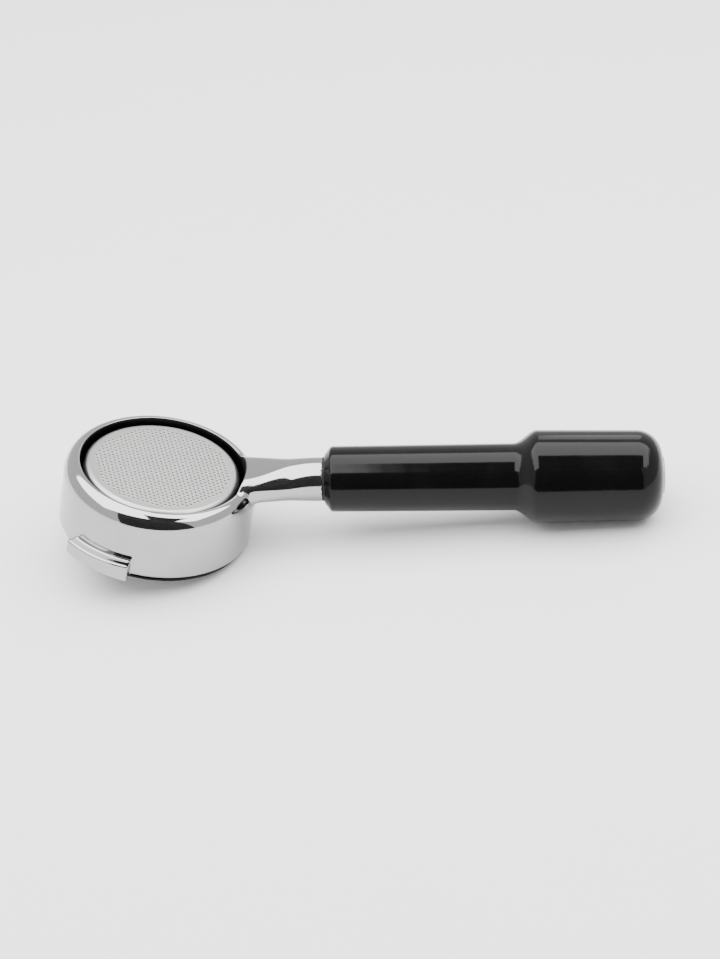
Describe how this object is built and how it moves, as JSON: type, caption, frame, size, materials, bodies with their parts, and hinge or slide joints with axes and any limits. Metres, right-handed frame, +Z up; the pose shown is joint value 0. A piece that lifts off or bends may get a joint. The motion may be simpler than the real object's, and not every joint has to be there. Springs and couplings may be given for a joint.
{
  "type": "portafilter",
  "caption": "Bottomless espresso portafilter, upside down: plated ring with bayonet lugs and neck, perforated steel basket, black grip.",
  "frame": {"origin": "on the table under the middle of the whole object's box, with the portafilter lying upside down", "axes": "+X from the cup towards the end of the grip, +Z up from the table; the cup's own axis leans 14.2 degrees from +Z towards +X"},
  "size_m": [0.2238, 0.0776, 0.0431],
  "materials": {
    "chrome_plate": "polished chrome plate on brass",
    "basket_steel": "satin stainless sheet, perforated floor",
    "spring_steel": "bright drawn spring wire",
    "black_rubber": "matt black gasket",
    "black_phenolic": "polished moulded black",
    "zinc_steel": "zinc plated fastener",
    "grey_cap": "plain warm grey plug"
  },
  "bodies": {
    "holder": {"holder_body": "chrome_plate", "neck_gasket": "black_rubber", "handle_grip": "black_phenolic", "tie_bolt": "zinc_steel", "flat_washer": "zinc_steel", "lock_washer": "spring_steel", "end_cap": "grey_cap"},
    "spring": {"basket_spring": "spring_steel"},
    "basket": {"filter_basket": "basket_steel"}
  },
  "joints": [
    {"name": "basket_spin", "type": "hinge", "parent": "holder", "child": "spring", "pos_m": [-0.07592, 0, 0.01579], "axis": [0.2445, 0, 0.9696], "continuous": true},
    {"name": "basket_slide", "type": "slide", "parent": "spring", "child": "basket", "axis": [-0.2445, 0, -0.9696], "range_m": [0, 0.04]}
  ]
}
